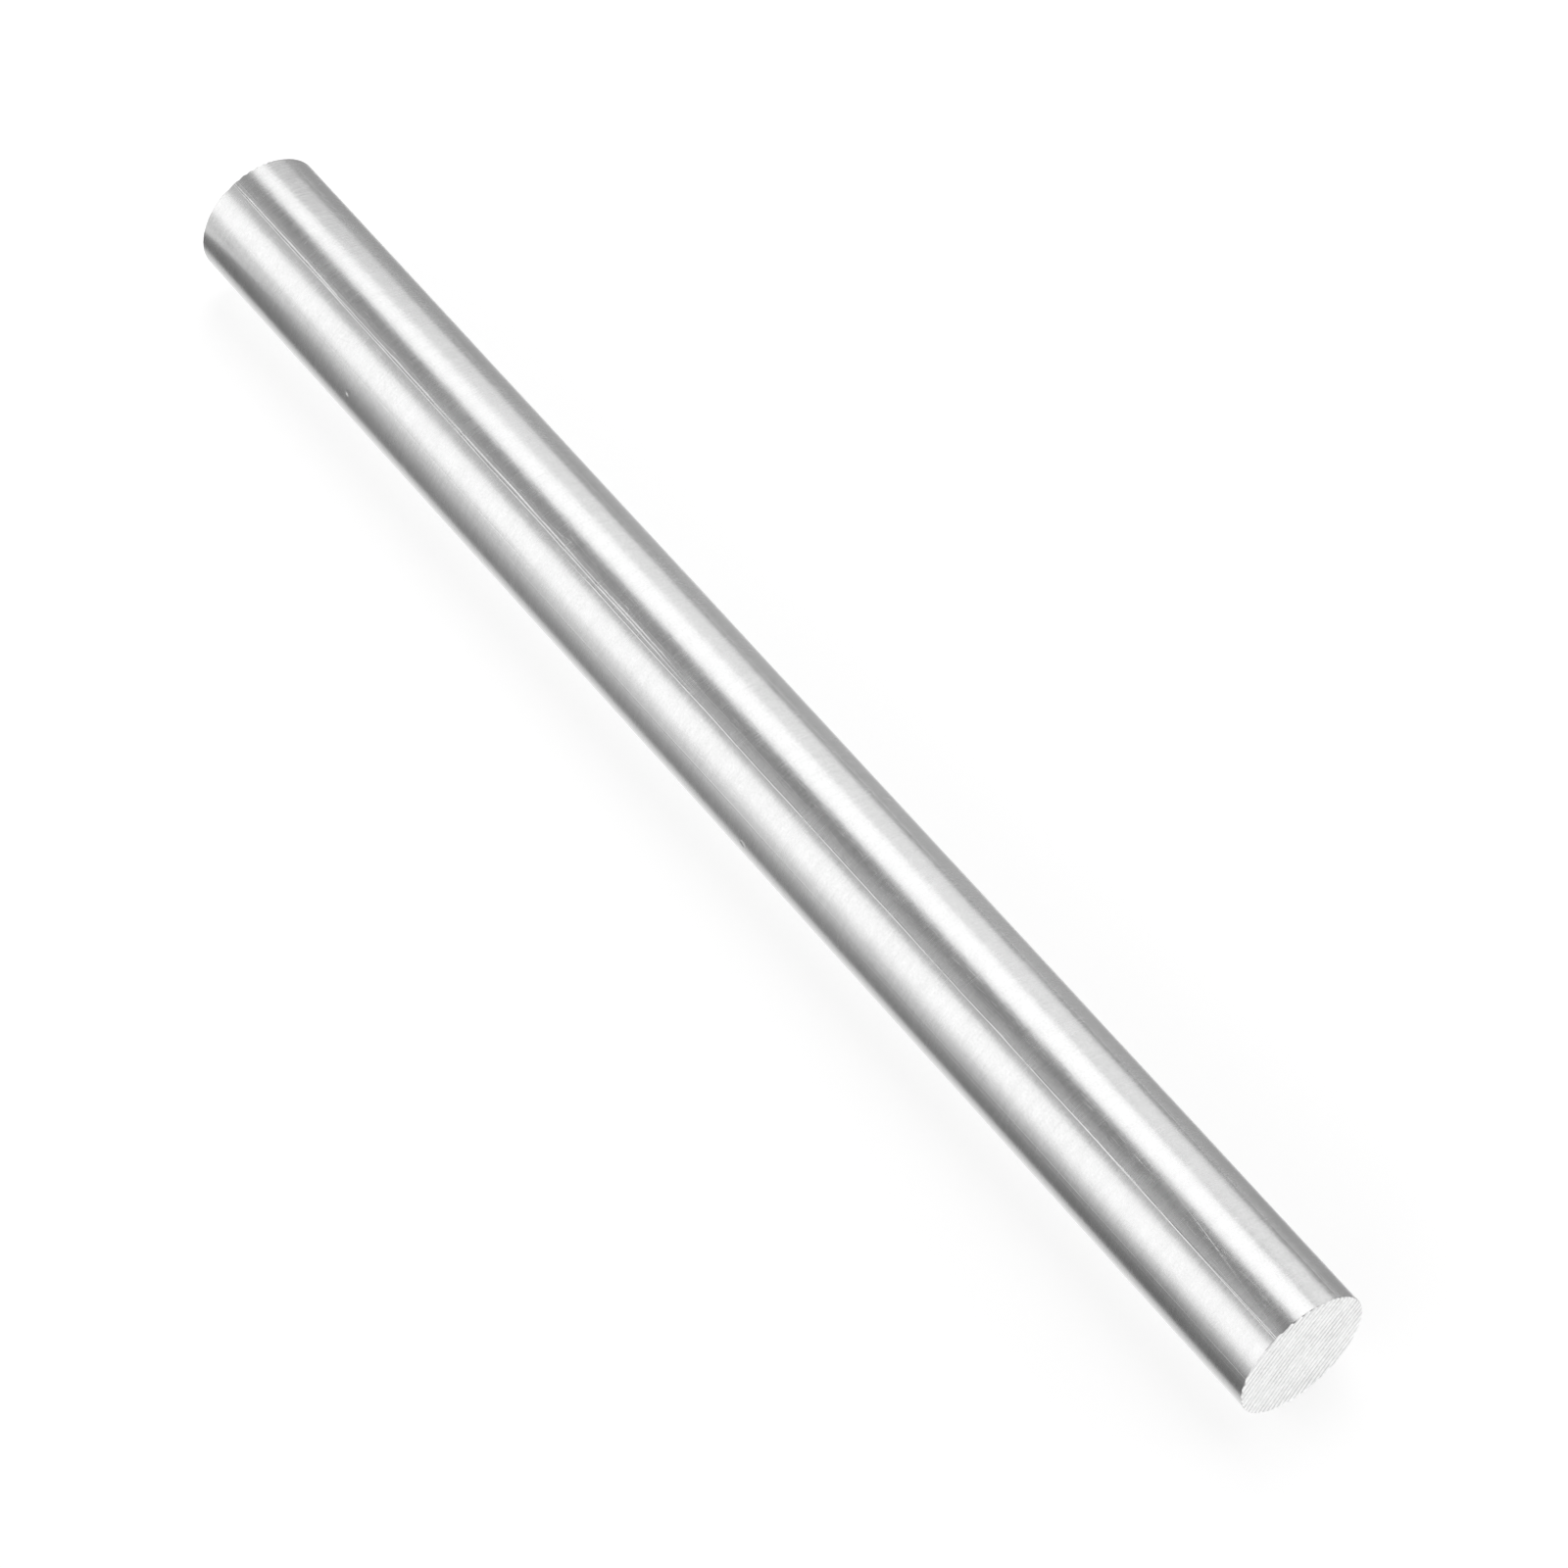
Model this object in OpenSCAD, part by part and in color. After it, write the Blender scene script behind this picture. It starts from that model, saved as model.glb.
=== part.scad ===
// Round bar of titanium: one piece of centreless-ground stock, sawn to length at both ends.
// Lengths are in millimetres. The bar lies on its side along X and rests on the plane Z = 0.
// The origin is the middle of the line it rests on, and the end at +X is the one seen first.

/* [Bar] */
// Diameter of the ground bar
bar_d = 25; // [6:0.5:60]
// Length of the bar over its two sawn faces
bar_l = 300; // [60:1:1000]

/* [Sawn ends] */
// Width of the 45 degree edge break that deburring leaves round the face at +X
near_edge_break = 0.2; // [0.1:0.05:1]
// Width of the 45 degree edge break that deburring leaves round the face at -X
far_edge_break = 0.2; // [0.1:0.05:1]

/* [Finish] */
// Colour of the ground titanium
bar_colour = "silver"; // [silver, darkgray, gainsboro]

/* [Hidden] */
bar_r = bar_d / 2;
bar_facets = 180;

// Half section of the bar on its own axis: the far face is at height 0 and the near face at bar_l.
module half_section()
    polygon([
        [0, 0],
        [bar_r - far_edge_break, 0],
        [bar_r, far_edge_break],
        [bar_r, bar_l - near_edge_break],
        [bar_r - near_edge_break, bar_l],
        [0, bar_l]
    ]);

// The bar, turned from its half section and laid along X on the plane it rests on.
module round_bar()
    color(bar_colour)
        translate([-bar_l / 2, 0, bar_r])
            rotate([0, 90, 0])
                rotate_extrude($fn = bar_facets)
                    half_section();

round_bar();
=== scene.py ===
from math import cos, pi, radians, sin, tan

import bmesh
import bpy
from mathutils import Matrix, Vector, noise


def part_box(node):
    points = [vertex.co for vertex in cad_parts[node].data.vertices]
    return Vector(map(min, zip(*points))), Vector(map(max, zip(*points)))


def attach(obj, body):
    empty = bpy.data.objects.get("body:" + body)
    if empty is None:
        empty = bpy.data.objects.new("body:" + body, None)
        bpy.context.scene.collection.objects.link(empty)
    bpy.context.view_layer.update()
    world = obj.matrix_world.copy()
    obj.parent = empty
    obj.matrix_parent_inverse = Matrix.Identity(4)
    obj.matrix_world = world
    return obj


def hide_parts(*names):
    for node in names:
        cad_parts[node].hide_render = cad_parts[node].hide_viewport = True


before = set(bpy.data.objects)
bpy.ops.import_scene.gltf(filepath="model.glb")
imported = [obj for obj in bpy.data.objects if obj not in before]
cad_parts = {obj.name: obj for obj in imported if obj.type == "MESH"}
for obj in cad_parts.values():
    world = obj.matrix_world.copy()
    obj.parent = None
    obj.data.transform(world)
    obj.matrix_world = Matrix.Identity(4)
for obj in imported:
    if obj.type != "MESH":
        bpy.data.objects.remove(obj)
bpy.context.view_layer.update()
scene = bpy.context.scene
scene.view_settings.view_transform = "Standard"
mm = 0.001

# Camera: a long lens a little over a metre away, above the near sawn end and to the side of the bar.
view_aim = Vector((10.0 * mm, 0.5 * mm, 12.5 * mm))
view_distance = 1080.5 * mm
view_azimuth = radians(53.78)
view_elevation = radians(53.30)
view_lens = 146.8
view_back = Vector((
    sin(view_azimuth) * cos(view_elevation),
    -cos(view_azimuth) * cos(view_elevation),
    sin(view_elevation),
))
camera = bpy.data.objects.new("camera", bpy.data.cameras.new("camera"))
camera.data.lens = view_lens
camera.data.sensor_width = 36.0
camera.data.clip_start = 0.01
camera.location = view_aim + view_back * view_distance
camera.rotation_euler = view_back.to_track_quat("Z", "Y").to_euler()
scene.collection.objects.link(camera)
scene.camera = camera

# The bar: one piece of titanium round stock, ground true on its outside between two wheels,
# then cut to length on a band saw. The saw leaves straight ridges over each end, and a file
# has only just taken the edge off both rims.
bar_low, bar_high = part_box("round_bar")
bar_radius = (bar_high.z - bar_low.z) / 2
bar_centre_z = (bar_high.z + bar_low.z) / 2
bar_facets = 512
edge_break = 0.07 * mm
filed_most = 5.0  # how many more edge breaks the file took off on the side that it came from
filed_towards = radians(-50)
# Rings of vertices round the rim, in edge breaks behind the cut.
rim_rings = (6.0, 4.0, 3.0, 2.4, 1.9, 1.5, 1.1, 0.8, 0.5, 0.25, 0.0, -0.3, -1.2)
turned_in_most = 1.6  # the rings beyond the cut turn in further than the edge itself
spare_metal = 1 * mm  # how far the uncut bar and the saw's blocks reach past the finished bar

cuts = (
    {"x": bar_high.x, "outward": 1, "seed": 3.7},
    {"x": bar_low.x, "outward": -1, "seed": 41.2},
)
cut_lean = radians(0.9)  # both cuts lean alike, as the saw's fence stood
cut_leans_towards = radians(203.8)  # round the bar from +Y to +Z, the side where the near end is longer
ridge_turn = radians(48.5)
ridge_pitch = 1.12 * mm
ridge_depth = 0.26 * mm
ridge_bow = 1 / (150 * mm)
ridge_wander = 0.16 * mm
teeth_depth = 0.012 * mm
step_depth = 0.030 * mm
along_step = 0.36 * mm
across_step = 0.10 * mm
block_thickness = 4 * mm
cut_setback = bar_radius * tan(cut_lean) + 0.8 * ridge_depth
cut_normal = Vector((1, -tan(cut_lean) * cos(cut_leans_towards), -tan(cut_lean) * sin(cut_leans_towards)))
cut_normal.normalize()


def cut_plane(cut):
    """The flat that the saw's ridges stand on: its centre and its outward normal."""
    centre = Vector((cut["x"] - cut["outward"] * cut_setback, 0, bar_centre_z))
    return centre, cut_normal * cut["outward"]


def ridge_height(cut, along, across):
    """Height of the sawn face over its flat: bowed, wandering ridges with uneven crests."""
    place = Vector((along, across, 0)) / mm
    seed = Vector((cut["seed"], cut["seed"] * 0.7, cut["seed"] * 1.3))
    wander = ridge_wander * noise.noise(Vector((place.x / 9, place.y / 5, 0)) + seed)
    turn = (across + ridge_bow / 2 * along * along + wander) / ridge_pitch * 2 * pi
    crest = cos(turn) + 0.22 * sin(2 * turn)
    patch = noise.noise(Vector((place.x / 8, place.y / 6, 3)) + seed)
    each = noise.noise(Vector((place.x / 4, place.y / 1.1, 5)) + seed)
    depth = ridge_depth * (0.38 + 0.2 * patch + 0.18 * each)
    teeth = teeth_depth * noise.noise(Vector((place.x / 2.5, place.y / 0.13, 9)) + seed)
    step = step_depth * noise.noise(Vector((place.x / 6, place.y / 2.3, 17)) + seed)
    return depth * crest + teeth + step


def shaft_mesh():
    """A round cylinder a little longer than the bar, with rings that turn in at both sawn rims."""
    length = bar_high.x - bar_low.x + 2 * spare_metal
    made = bmesh.new()
    bmesh.ops.create_cone(
        made, cap_ends=True, segments=bar_facets, radius1=bar_radius, radius2=bar_radius, depth=length
    )
    bmesh.ops.rotate(made, verts=made.verts, cent=(0, 0, 0), matrix=Matrix.Rotation(pi / 2, 3, "Y"))
    bmesh.ops.translate(made, verts=made.verts, vec=((bar_low.x + bar_high.x) / 2, 0, bar_centre_z))
    for cut in cuts:
        centre, normal = cut_plane(cut)
        for behind in rim_rings:
            everything = made.verts[:] + made.edges[:] + made.faces[:]
            plane = centre - normal * behind * edge_break
            bmesh.ops.bisect_plane(made, geom=everything, plane_co=plane, plane_no=normal)
        for vert in made.verts:
            behind = (centre - vert.co).dot(normal)
            if behind > (rim_rings[0] + 0.01) * edge_break:
                continue
            radial = Vector((0, vert.co.y, vert.co.z - bar_centre_z)).normalized()
            spot = radial * 3.0 + Vector((cut["seed"], 0, 0))
            filed = filed_most * max(radial.y * cos(filed_towards) + radial.z * sin(filed_towards), 0.0)
            width = edge_break * (1.0 + filed + 1.1 * noise.noise(spot) + 0.7 * noise.noise(spot * 6))
            width = max(width, 0.25 * edge_break)
            into = min(max((width - behind) / width, 0.0), turned_in_most)
            vert.co -= radial * width * (0.5 * into * into)
    return made


def saw_block(cut):
    """The metal that the saw takes away beyond one end: its inner side carries the ridges."""
    half = bar_radius + spare_metal
    made = bmesh.new()
    bmesh.ops.create_grid(
        made, x_segments=round(2 * half / along_step), y_segments=round(2 * half / across_step), size=half
    )
    for vert in made.verts:
        vert.co.z = ridge_height(cut, vert.co.x, vert.co.y)
    outer = bmesh.ops.extrude_face_region(made, geom=made.faces[:])
    raised = [g for g in outer["geom"] if isinstance(g, bmesh.types.BMVert)]
    bmesh.ops.translate(made, verts=raised, vec=(0, 0, block_thickness))
    for vert in raised:
        vert.co.z = block_thickness
    bmesh.ops.recalc_face_normals(made, faces=made.faces[:])
    centre, normal = cut_plane(cut)
    along = Vector((0, cos(ridge_turn), sin(ridge_turn)))
    across = normal.cross(along).normalized()
    along = across.cross(normal)
    turn = Matrix((along, across, normal)).transposed().to_4x4()
    bmesh.ops.transform(made, verts=made.verts, matrix=Matrix.Translation(centre) @ turn)
    return made


def new_object(name, made, material_index=0):
    """An object at the origin that holds a finished bmesh."""
    mesh = bpy.data.meshes.new(name)
    for face in made.faces:
        face.material_index = material_index
    made.to_mesh(mesh)
    made.free()
    thing = bpy.data.objects.new(name, mesh)
    scene.collection.objects.link(thing)
    return thing


def node(tree, kind, links=(), **settings):
    """A shader node: names in settings are its properties, and links are (input, value or output)."""
    made = tree.nodes.new(kind)
    for name, value in settings.items():
        setattr(made, name, value)
    for socket, value in links:
        if isinstance(value, bpy.types.NodeSocket):
            tree.links.new(value, made.inputs[socket])
        else:
            made.inputs[socket].default_value = value
    return made


def math(tree, operation, *values):
    """One sum on single values."""
    return node(tree, "ShaderNodeMath", list(enumerate(values)), operation=operation).outputs[0]


def vary(tree, value, pattern, share):
    """Lift and lower a value by a pattern that runs from 0 to 1 about a middle of 0.5."""
    return math(tree, "MULTIPLY_ADD", pattern, share, math(tree, "SUBTRACT", value, share / 2))


def new_material(name):
    """An empty material and the Principled shader that it ends in."""
    material = bpy.data.materials.new(name)
    material.use_nodes = True
    tree = material.node_tree
    tree.nodes.clear()
    shader = node(tree, "ShaderNodeBsdfPrincipled", [("Metallic", 1.0)])
    node(tree, "ShaderNodeOutputMaterial", [("Surface", shader.outputs[0])])
    return material, tree, shader


def new_group(name, inputs, outputs):
    """An empty node group with value sockets, and the sockets that its inputs and result stand on."""
    group = bpy.data.node_groups.new(name, "ShaderNodeTree")
    for label, value in inputs.items():
        kind = "NodeSocketVector" if value is None else "NodeSocketFloat"
        socket = group.interface.new_socket(label, in_out="INPUT", socket_type=kind)
        if value is not None:
            socket.default_value = value
    for label in outputs:
        group.interface.new_socket(label, in_out="OUTPUT", socket_type="NodeSocketFloat")
    return group, node(group, "NodeGroupInput").outputs, node(group, "NodeGroupOutput").inputs


def tool_marks_group():
    """Fine parallel marks of uneven depth that cross the pattern's X, as a wheel or a saw leaves them."""
    group, given, result = new_group(
        "tool marks",
        {"Vector": None, "Marks per metre": 3000.0, "Stretch": 60.0},
        ("Height", "Fine", "Tone"),
    )
    place = node(group, "ShaderNodeSeparateXYZ", [(0, given["Vector"])]).outputs
    along_scale = math(group, "DIVIDE", given["Marks per metre"], given["Stretch"])
    layers = []
    for share, detail in ((1.0, 2.0), (0.23, 1.0)):  # fine marks, and the coarser ones that they lie in
        across_scale = math(group, "MULTIPLY", given["Marks per metre"], share)
        across = math(group, "MULTIPLY", place["X"], across_scale)
        spot = node(group, "ShaderNodeCombineXYZ", [
            (0, across),
            (1, math(group, "MULTIPLY", place["Y"], along_scale)),
            (2, math(group, "MULTIPLY", place["Z"], along_scale)),
        ]).outputs[0]
        marks = node(group, "ShaderNodeTexNoise", [("Vector", spot), ("Scale", 1.0), ("Detail", detail)])
        layers.append(marks.outputs[0])
    group.links.new(math(group, "MULTIPLY_ADD", layers[1], 0.6, layers[0]), result["Height"])
    group.links.new(layers[0], result["Fine"])
    group.links.new(layers[1], result["Tone"])
    return group


def drag_line_group():
    """One thin line dragged along the bar at an angle round it, between two places on its length."""
    group, given, result = new_group(
        "drag line",
        {"Along": 0.0, "Around": 0.0, "Angle": 0.0, "Drift": 0.0, "Width": 0.01, "From": -0.15, "To": 0.15},
        ("Height",),
    )
    seed = math(group, "MULTIPLY", given["Angle"], 10.0)
    wave = node(
        group,
        "ShaderNodeTexNoise",
        [("W", math(group, "ADD", given["Along"], seed)), ("Scale", 45.0), ("Detail", 2.0)],
        noise_dimensions="1D",
    ).outputs[0]
    most_sway = 0.02  # radians round the bar
    sway = math(group, "MULTIPLY", math(group, "SUBTRACT", wave, 0.5), most_sway)
    centre = math(group, "MULTIPLY_ADD", given["Along"], given["Drift"], given["Angle"])
    off = math(group, "SUBTRACT", given["Around"], math(group, "ADD", centre, sway))
    reach = math(group, "DIVIDE", math(group, "ABSOLUTE", off), given["Width"])
    height = node(
        group,
        "ShaderNodeMapRange",
        [("Value", reach), ("To Min", 1.0), ("To Max", 0.0)],
        interpolation_type="SMOOTHSTEP",
    ).outputs[0]
    fading_length = 20 * mm
    for end, sign in (("From", 1.0), ("To", -1.0)):
        past_end = math(group, "SUBTRACT", given["Along"], given[end])
        past_end = math(group, "MULTIPLY", past_end, sign / fading_length)
        fade = node(group, "ShaderNodeClamp", [("Value", past_end)]).outputs[0]
        height = math(group, "MULTIPLY", height, fade)
    unevenness = math(group, "MULTIPLY_ADD", wave, 1.6, 0.2)
    group.links.new(math(group, "MULTIPLY", height, unevenness), result["Height"])
    return group


micron = 0.001 * mm
tool_marks = tool_marks_group()
drag_line = drag_line_group()

# Ground titanium, the outside: the wheels leave fine hoop marks round it. Handling adds a few thin
# lines dragged along it, two nicks, and a strip of fine scratches where it was rubbed.
hoops_per_metre = 2300.0
hoop_stretch = 9.0
hoop_height = 8 * micron
grain_height = 6 * micron
grain_scale = 2400.0
clouds_scale = 70.0
line_height = 22 * micron
wave_height = 10 * micron
waves_scale = (300.0, 800.0, 1.0)  # along the bar, round it
scratch_depth = 6.5 * micron
scratches_across_metre = 4800.0
line_width = 0.13 * mm / bar_radius
ground_tone = 0.60
ground_roughness = 0.26
rubbed_middle = radians(-21)
rubbed_half_width = radians(11)
rubbed_outside = 0.15  # how much of the strip's grain and scratches the rest of the bar has
nick_depth = 0.2 * mm
nicks = (  # place along the bar, angle from the top towards +Y, radius
    (-103 * mm, -76.0, 0.8 * mm),
    (16 * mm, -90.0, 0.8 * mm),
)
drag_lines = (  # angle from the top towards +Y, drift per metre, where it starts and ends, strength
    (-19.5, -4.0, -0.20, 0.03, 0.4),
    (-23.0, -10.0, -0.20, -0.005, 1.4),
    (-25.5, -16.0, -0.16, 0.0, 1.2),
    (-28.3, -3.0, -0.05, 0.20, 1.0),
    (-25.8, -28.0, 0.09, 0.20, 0.8),
    (35.0, -400.0, 0.115, 0.20, 0.5),
    (-56.3, -6.0, -0.13, -0.04, -0.4),
    (-66.2, 8.0, -0.06, 0.05, 0.8),
    (-69.0, -14.0, 0.05, 0.20, 0.6),
    (-72.5, -20.0, 0.03, 0.20, 0.4),
    (33.0, -2.0, -0.04, 0.20, 0.6),
    (31.0, 5.0, -0.06, 0.06, 0.2),
)

ground, tree, shader = new_material("ground titanium")
place = node(tree, "ShaderNodeTexCoord").outputs["Object"]
axes = node(tree, "ShaderNodeSeparateXYZ", [(0, place)]).outputs
around = math(tree, "ARCTAN2", axes["Y"], math(tree, "SUBTRACT", axes["Z"], bar_centre_z))
unrolled = node(
    tree, "ShaderNodeCombineXYZ", [(0, axes["X"]), (1, math(tree, "MULTIPLY", around, bar_radius))]
).outputs[0]

hoops = node(
    tree,
    "ShaderNodeGroup",
    [("Vector", place), ("Marks per metre", hoops_per_metre), ("Stretch", hoop_stretch)],
    node_tree=tool_marks,
).outputs
relief = math(tree, "MULTIPLY", hoops["Height"], hoop_height)
rubbed = node(
    tree,
    "ShaderNodeMapRange",
    [
        ("Value", math(tree, "ABSOLUTE", math(tree, "SUBTRACT", around, rubbed_middle))),
        ("From Min", 0.3 * rubbed_half_width), ("From Max", rubbed_half_width),
        ("To Min", 1.0), ("To Max", rubbed_outside),
    ],
    interpolation_type="SMOOTHSTEP",
).outputs[0]
grain = node(
    tree, "ShaderNodeTexNoise", [("Vector", place), ("Scale", grain_scale), ("Detail", 2.0)]
).outputs[0]
relief = math(tree, "MULTIPLY_ADD", math(tree, "MULTIPLY", grain, rubbed), grain_height, relief)
for angle, drift, start, end, strength in drag_lines:
    line = node(
        tree,
        "ShaderNodeGroup",
        [
            ("Along", axes["X"]),
            ("Around", around),
            ("Angle", radians(angle)),
            ("Drift", radians(drift)),
            ("Width", line_width),
            ("From", start),
            ("To", end),
        ],
        node_tree=drag_line,
    ).outputs[0]
    relief = math(tree, "MULTIPLY_ADD", line, line_height * strength, relief)
waves_place = node(
    tree, "ShaderNodeVectorMath", [(0, unrolled), (1, waves_scale)], operation="MULTIPLY"
).outputs[0]
waves = node(
    tree, "ShaderNodeTexNoise", [("Vector", waves_place), ("Scale", 1.0), ("Detail", 1.0)]
).outputs[0]
relief = math(tree, "MULTIPLY_ADD", waves, wave_height, relief)
scratches = 0.0
for slant, length_scale, seed in ((1.2, 200.0, 0.3), (-2.0, 260.0, 5.6)):
    turned = node(
        tree,
        "ShaderNodeVectorRotate",
        [("Vector", unrolled), ("Angle", radians(slant))],
        rotation_type="Z_AXIS",
    ).outputs[0]
    stretched = node(
        tree,
        "ShaderNodeVectorMath",
        [(0, turned), (1, (length_scale, scratches_across_metre, 1.0)), (2, (seed, seed, seed))],
        operation="MULTIPLY_ADD",
    ).outputs[0]
    streaks = node(
        tree, "ShaderNodeTexNoise", [("Vector", stretched), ("Scale", 1.0), ("Detail", 1.0)]
    ).outputs[0]
    sharp = node(
        tree,
        "ShaderNodeMapRange",
        [("Value", streaks), ("From Min", 0.60), ("From Max", 0.80)],
        interpolation_type="SMOOTHSTEP",
    ).outputs[0]
    scratches = math(tree, "ADD", scratches, sharp)
scratches = math(tree, "MULTIPLY", scratches, rubbed)
relief = math(tree, "MULTIPLY_ADD", scratches, scratch_depth, relief)
for nick_x, angle, nick_radius in nicks:
    off = node(
        tree,
        "ShaderNodeVectorMath",
        [(0, unrolled), (1, (nick_x, radians(angle) * bar_radius, 0))],
        operation="DISTANCE",
    ).outputs["Value"]
    nick = node(
        tree,
        "ShaderNodeMapRange",
        [("Value", off), ("From Max", nick_radius), ("To Min", -nick_depth), ("To Max", 0.0)],
        interpolation_type="SMOOTHSTEP",
    ).outputs[0]
    relief = math(tree, "ADD", relief, nick)
bump = node(tree, "ShaderNodeBump", [("Height", relief), ("Distance", 1.0)])
tree.links.new(bump.outputs[0], shader.inputs["Normal"])

clouds = node(
    tree, "ShaderNodeTexNoise", [("Vector", place), ("Scale", clouds_scale), ("Detail", 3.0)]
).outputs[0]
tone = ground_tone
for pattern, share in ((clouds, 0.05), (hoops["Tone"], 0.06), (hoops["Fine"], 0.08), (grain, 0.10)):
    tone = vary(tree, tone, pattern, share)
grey = node(tree, "ShaderNodeCombineColor", [(0, tone), (1, tone), (2, tone)]).outputs[0]
tree.links.new(grey, shader.inputs["Base Color"])
polish = vary(tree, vary(tree, ground_roughness, clouds, 0.10), hoops["Fine"], 0.08)
tree.links.new(polish, shader.inputs["Roughness"])

# Sawn titanium, the two ends: brighter and rougher. The ridges' crests are burnished, and their grooves are
# dull and painted darker as shade in them; the saw's teeth leave fine marks along them, and its tears make
# their tone uneven.
shaded_dull_groove_tone = 0.66
crest_tone = 0.98
teeth_per_metre = 5200.0
teeth_height = 12 * micron
teeth_stretch = 14.0
tears_height = 16 * micron
tears_scale = 1700.0
sawn_evenness = 0.97
sawn_roughness = 0.42
sawn, tree, shader = new_material("sawn titanium")
ridge_along = Vector((0, cos(ridge_turn), sin(ridge_turn)))
ridge_across = ridge_along.cross(cut_normal).normalized()
to_saw = Matrix((ridge_across, cut_normal.cross(ridge_across), cut_normal))
saw_place = node(tree, "ShaderNodeMapping", [
    ("Vector", node(tree, "ShaderNodeTexCoord").outputs["Object"]),
    ("Location", to_saw @ Vector((0, 0, -bar_centre_z))),
    ("Rotation", to_saw.to_euler()),
]).outputs[0]
from_middle = math(tree, "ABSOLUTE", node(tree, "ShaderNodeSeparateXYZ", [(0, saw_place)]).outputs["Z"])
flat_from_middle = cut_normal.x * ((bar_high.x - bar_low.x) / 2 - cut_setback)
height = math(tree, "SUBTRACT", from_middle, flat_from_middle)
teeth = node(
    tree,
    "ShaderNodeGroup",
    [("Vector", saw_place), ("Marks per metre", teeth_per_metre), ("Stretch", teeth_stretch)],
    node_tree=tool_marks,
).outputs
tears = node(
    tree, "ShaderNodeTexNoise", [("Vector", saw_place), ("Scale", tears_scale), ("Detail", 3.0)]
).outputs[0]
relief = math(tree, "MULTIPLY", teeth["Height"], teeth_height)
relief = math(tree, "MULTIPLY_ADD", tears, tears_height, relief)
bump = node(tree, "ShaderNodeBump", [("Height", relief), ("Distance", 1.0)])
tree.links.new(bump.outputs[0], shader.inputs["Normal"])
# The ridge tone is painted shade in the grooves, on top of their dull metal, running up to the burnished
# crests.
tone = node(tree, "ShaderNodeMapRange", [
    ("Value", height), ("From Min", -0.45 * ridge_depth), ("From Max", 0.05 * ridge_depth),
    ("To Min", shaded_dull_groove_tone), ("To Max", crest_tone),
]).outputs[0]
evenness = vary(tree, vary(tree, sawn_evenness, teeth["Tone"], 0.14), tears, 0.44)
tone = math(tree, "MULTIPLY", tone, evenness)
grey = node(tree, "ShaderNodeCombineColor", [(0, tone), (1, tone), (2, tone)]).outputs[0]
tree.links.new(grey, shader.inputs["Base Color"])
tree.links.new(vary(tree, sawn_roughness, tears, 0.20), shader.inputs["Roughness"])

# The saw goes through the bar: the two blocks are cut away from it, and their ridged sides stay as
# its end faces, with the sawn finish.
sharp_from = radians(40)
bar = new_object("titanium_round_bar", shaft_mesh())
bar.data.materials.append(ground)
bar.data.materials.append(sawn)
blocks = [new_object("saw_cut", saw_block(cut), material_index=1) for cut in cuts]
for block in blocks:
    block.data.materials.append(ground)
    block.data.materials.append(sawn)
    cutter = bar.modifiers.new("saw cut", "BOOLEAN")
    cutter.operation = "DIFFERENCE"
    cutter.solver = "EXACT"
    cutter.object = block
sawn_mesh = bpy.data.meshes.new_from_object(bar.evaluated_get(bpy.context.evaluated_depsgraph_get()))
bar.modifiers.clear()
bar.data = sawn_mesh
for block in blocks:
    bpy.data.objects.remove(block)
bar.data.shade_smooth()
bar.data.set_sharp_from_angle(angle=sharp_from)
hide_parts("round_bar")
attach(bar, "root")

# The table: a plain white sweep that the bar lies on. Where it is seen or mirrored it is lifted
# towards white, and the bar's shadow stays on it.
table_size = 60.0
table_tone = 0.90
shadow_tone = 0.45  # what the bar's shadow can take from the table where it is seen
lift_near_bar = 0.66
lift_far_off = 1.0
lift_from, lift_to = 0.45, 1.0  # distances from the middle of the bar
table_mesh = bmesh.new()
bmesh.ops.create_grid(table_mesh, x_segments=1, y_segments=1, size=table_size / 2)
table = new_object("table", table_mesh)
paper = bpy.data.materials.new("white table")
paper.use_nodes = True
tree = paper.node_tree
tree.nodes.clear()
white, dim_white = (
    node(tree, "ShaderNodeBsdfDiffuse", [("Color", (tone, tone, tone, 1))]).outputs[0]
    for tone in (table_tone, shadow_tone)
)
from_bar = node(
    tree,
    "ShaderNodeVectorMath",
    [(0, node(tree, "ShaderNodeTexCoord").outputs["Object"])],
    operation="LENGTH",
).outputs["Value"]
lift = node(tree, "ShaderNodeMapRange", [
    ("Value", from_bar), ("From Min", lift_from), ("From Max", lift_to),
    ("To Min", lift_near_bar), ("To Max", lift_far_off),
]).outputs[0]
glow = node(tree, "ShaderNodeEmission", [("Strength", lift)]).outputs[0]
lifted = node(tree, "ShaderNodeAddShader", [(0, dim_white), (1, glow)]).outputs[0]
ray = node(tree, "ShaderNodeLightPath").outputs
seen = math(tree, "ADD", ray["Is Camera Ray"], ray["Is Glossy Ray"])
seen = math(tree, "MINIMUM", math(tree, "ADD", seen, ray["Is Transmission Ray"]), 1.0)
look = node(tree, "ShaderNodeMixShader", [(0, seen), (1, white), (2, lifted)]).outputs[0]
node(tree, "ShaderNodeOutputMaterial", [("Surface", look)])
table.data.materials.append(paper)

# Cards lie on the table along the bar, where only the bar mirrors them, and glow at set tones as painted
# reflections:
# the grey ones paint its dark edges, and the strips under it paint its lowest edges pale. The grey ones are
# painted a little darker to their ends, as painted shade.
card_height = 0.5 * mm
card_painted_end_shade = 0.28
card_painted_end_shade_middle = -0.025
card_painted_end_shade_reach = 0.11


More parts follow.
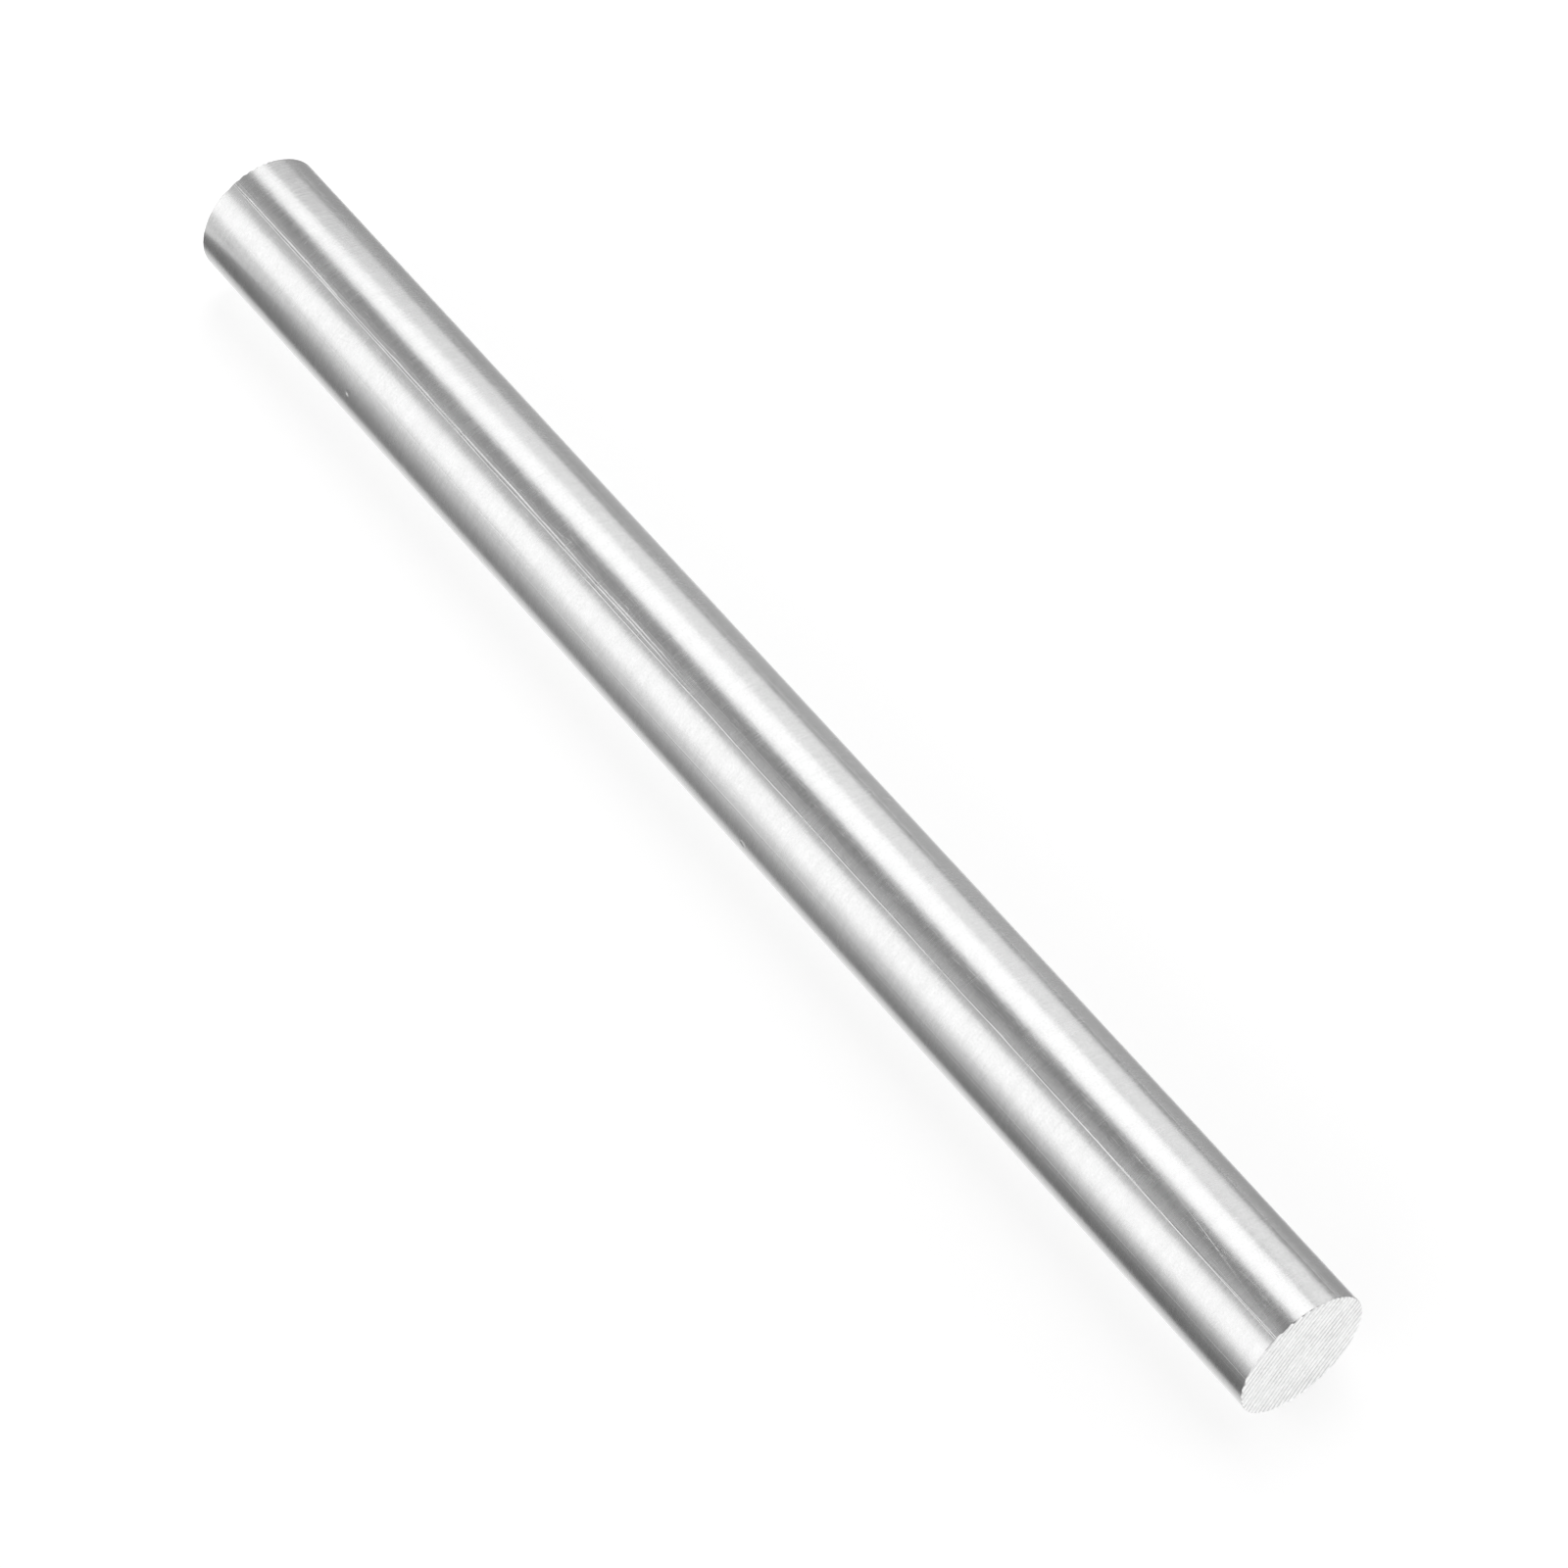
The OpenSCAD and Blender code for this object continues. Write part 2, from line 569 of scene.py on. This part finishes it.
def painted_reflection_card(name, far_x, inner_y, outer_y, inner_tone, outer_tone, painted_end_shade=card_painted_end_shade):
    """A glowing card between two distances across the table, seen only in the bar: its painted tone runs
    from its inner edge to its outer one, and painted shade darkens it towards its ends.
    """
    made = bmesh.new()
    bmesh.ops.create_grid(made, x_segments=1, y_segments=1, size=0.5)
    bmesh.ops.scale(made, verts=made.verts, vec=(bar_high.x - far_x, abs(outer_y - inner_y), 1))
    middle = ((bar_high.x + far_x) / 2, (inner_y + outer_y) / 2, card_height)
    bmesh.ops.translate(made, verts=made.verts, vec=middle)
    card = new_object(name, made)
    card.data.materials.append(bpy.data.materials.new(name))
    card.active_material.use_nodes = True
    tree = card.active_material.node_tree
    tree.nodes.clear()
    place = node(tree, "ShaderNodeTexCoord").outputs["Object"]
    axes = node(tree, "ShaderNodeSeparateXYZ", [(0, place)]).outputs
    across = node(tree, "ShaderNodeMapRange", [
        ("Value", axes["Y"]), ("From Min", inner_y), ("From Max", outer_y),
        ("To Min", inner_tone), ("To Max", outer_tone),
    ]).outputs[0]
    off = math(tree, "DIVIDE", math(tree, "SUBTRACT", axes["X"], card_painted_end_shade_middle), card_painted_end_shade_reach)
    square = math(tree, "MINIMUM", math(tree, "MULTIPLY", off, off), 1.5)
    tone = math(tree, "MULTIPLY", across, math(tree, "MULTIPLY_ADD", square, -painted_end_shade, 1.0))
    grey = node(tree, "ShaderNodeCombineColor", [(0, tone), (1, tone), (2, tone)]).outputs[0]
    surface = node(tree, "ShaderNodeEmission", [("Color", grey), ("Strength", 1.0)]).outputs[0]
    node(tree, "ShaderNodeOutputMaterial", [("Surface", surface)])
    card.visible_camera = card.visible_diffuse = card.visible_shadow = card.visible_transmission = False


# The left card's dark inner edge is a painted shadow of the bar on the table, seen only in the bar's
# reflection.
painted_reflection_card("left card", -0.17, -18.3 * mm, -70 * mm, 0.28, 1.0)
painted_reflection_card("left outer card", -0.30, -70 * mm, -220 * mm, 0.86, 1.05, painted_end_shade=0.10)
painted_reflection_card("right card", -0.90, 28.3 * mm, 620 * mm, 0.61, 0.61, painted_end_shade=0.15)
# The strips glow brighter than white, painting pale reflections on the bar's lowest edges.
painted_reflection_card("white strip", -0.17, -9 * mm, 28.3 * mm, 1.32, 1.32, painted_end_shade=0.0)
painted_reflection_card("pale strip", -0.17, -9 * mm, -18.3 * mm, 1.32, 0.72, painted_end_shade=0.0)

# The lamps: long soft boxes over the table that lie along the bar. Each fills a range of angles from
# straight up, so that the bar mirrors it as one long band.
lamp_distance = 0.9
lamp_turn_x = -0.45


def soft_box(name, size, brightness, place, shape="RECTANGLE"):
    """A soft box of the given size whose face shines evenly at one brightness."""
    lamp = bpy.data.lights.new(name, "AREA")
    lamp.shape = shape
    lamp.size, lamp.size_y = size
    lamp.energy = brightness * pi * size[0] * size[1]
    if shape == "ELLIPSE":
        lamp.energy *= pi / 4
    thing = bpy.data.objects.new(name, lamp)
    thing.matrix_world = place
    thing.visible_camera = False
    scene.collection.objects.link(thing)


def long_soft_box(name, angles, brightness, ends=(-1.5, 1.5), skew=0.0, shape="RECTANGLE"):
    """A long lamp along the bar that fills the sky from one angle to the other, + towards +Y."""
    middle = radians(sum(angles) / 2)
    width = 2 * lamp_distance * tan(radians(angles[1] - angles[0]) / 2)
    length = ends[1] - ends[0]
    pivot = Matrix.Translation((lamp_turn_x, 0, lamp_distance)) @ Matrix.Rotation(skew, 4, "Z")
    along = Matrix.Translation(((ends[0] + ends[1]) / 2 - lamp_turn_x, 0, 0))
    soft_box(name, (length, width), brightness, Matrix.Rotation(-middle, 4, "X") @ pivot @ along, shape)


long_soft_box("left soft box", (-83, -44.5), 1.37, skew=radians(-11))
long_soft_box("left low soft box", (-90, -83), 0.90, skew=radians(-11))
long_soft_box("overhead soft box", (-44.5, -18), 0.34, skew=radians(-11))
long_soft_box("overhead far soft box", (-44.5, -4), 0.14, (-1.5, -0.60), radians(-11))
long_soft_box("right soft box", (5.5, 43.5), 1.50, (-1.05, 0.30), radians(-15), "ELLIPSE")
long_soft_box("right reflector", (44.5, 77.5), 0.97, (-0.82, 1.50))
long_soft_box("right low reflector", (77.5, 88.5), 0.11, (-0.90, -0.40))

# The room: grey between the lamps, and paler towards both ends of the bar, so that nothing dark is
# mirrored when the bar is seen from an end.
room_sides = 0.28
room_ends = 0.85
world = bpy.data.worlds.new("studio")
world.use_nodes = True
tree = world.node_tree
tree.nodes.clear()
towards = node(tree, "ShaderNodeSeparateXYZ", [(0, node(tree, "ShaderNodeTexCoord").outputs["Generated"])])
room = node(
    tree,
    "ShaderNodeMapRange",
    [
        ("Value", math(tree, "ABSOLUTE", towards.outputs["X"])),
        ("From Min", 0.76), ("From Max", 0.97),
        ("To Min", room_sides), ("To Max", room_ends),
    ],
    interpolation_type="SMOOTHSTEP",
).outputs[0]
background = node(tree, "ShaderNodeBackground", [("Color", (1, 1, 1, 1)), ("Strength", room)]).outputs[0]
node(tree, "ShaderNodeOutputWorld", [("Surface", background)])
scene.world = world
